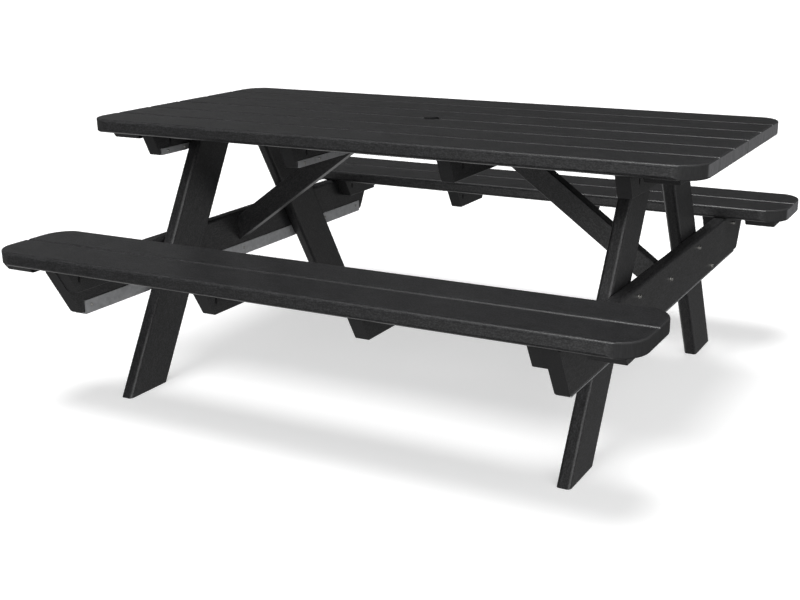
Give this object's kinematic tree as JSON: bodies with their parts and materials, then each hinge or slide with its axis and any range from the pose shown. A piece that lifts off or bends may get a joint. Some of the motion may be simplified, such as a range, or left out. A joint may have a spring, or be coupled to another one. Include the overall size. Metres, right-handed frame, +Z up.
{
  "type": "picnic table",
  "caption": "A-frame picnic table in black plastic lumber: boarded top with rounded corners and umbrella hole, attached benches, slanted legs, braces and screwed-on steel strips.",
  "frame": {"origin": "on the ground under the middle of the tabletop, which is the bottom centre of the whole table", "axes": "+X along the table and the benches, +Y across the table towards the rear bench, +Z up"},
  "size_m": [1.8288, 1.6668, 0.762],
  "materials": {
    "plastic_lumber": "matte, fine embossed grain",
    "galvanised_steel": "dull galvanised",
    "fasteners": "stainless steel"
  },
  "bodies": {
    "root": {"batten_screws": "fasteners", "brace_left": "plastic_lumber", "brace_right": "plastic_lumber", "crossbeam_angle_left": "galvanised_steel", "crossbeam_angle_right": "galvanised_steel", "crossbeam_left": "plastic_lumber", "crossbeam_right": "plastic_lumber", "frame_lag_screws": "fasteners", "leg_front_left": "plastic_lumber", "leg_front_right": "plastic_lumber", "leg_rear_left": "plastic_lumber", "leg_rear_right": "plastic_lumber", "leg_top_screws": "fasteners", "pocket_screws": "fasteners", "seat_beam_cleat_front_left": "plastic_lumber", "seat_beam_cleat_front_right": "plastic_lumber", "seat_beam_cleat_rear_left": "plastic_lumber", "seat_beam_cleat_rear_right": "plastic_lumber", "seat_end_batten_front_left": "plastic_lumber", "seat_end_batten_front_right": "plastic_lumber", "seat_end_batten_rear_left": "plastic_lumber", "seat_end_batten_rear_right": "plastic_lumber", "seat_front_inner_board": "plastic_lumber", "seat_front_outer_board": "plastic_lumber", "seat_inner_cleat_front_left": "plastic_lumber", "seat_inner_cleat_front_right": "plastic_lumber", "seat_inner_cleat_rear_left": "plastic_lumber", "seat_inner_cleat_rear_right": "plastic_lumber", "seat_rear_inner_board": "plastic_lumber", "seat_rear_outer_board": "plastic_lumber", "steel_strip_screws": "fasteners", "top_board_1": "plastic_lumber", "top_board_2": "plastic_lumber", "top_board_3": "plastic_lumber", "top_board_4": "plastic_lumber", "top_board_5": "plastic_lumber", "top_board_6": "plastic_lumber", "top_end_batten_left": "plastic_lumber", "top_end_batten_right": "plastic_lumber", "top_frame_cleat_bar_left": "galvanised_steel", "top_frame_cleat_bar_right": "galvanised_steel", "top_frame_cleat_left": "plastic_lumber", "top_frame_cleat_right": "plastic_lumber", "top_inner_cleat_bar_left": "galvanised_steel", "top_inner_cleat_bar_right": "galvanised_steel", "top_inner_cleat_left": "plastic_lumber", "top_inner_cleat_right": "plastic_lumber"}
  },
  "joints": []
}
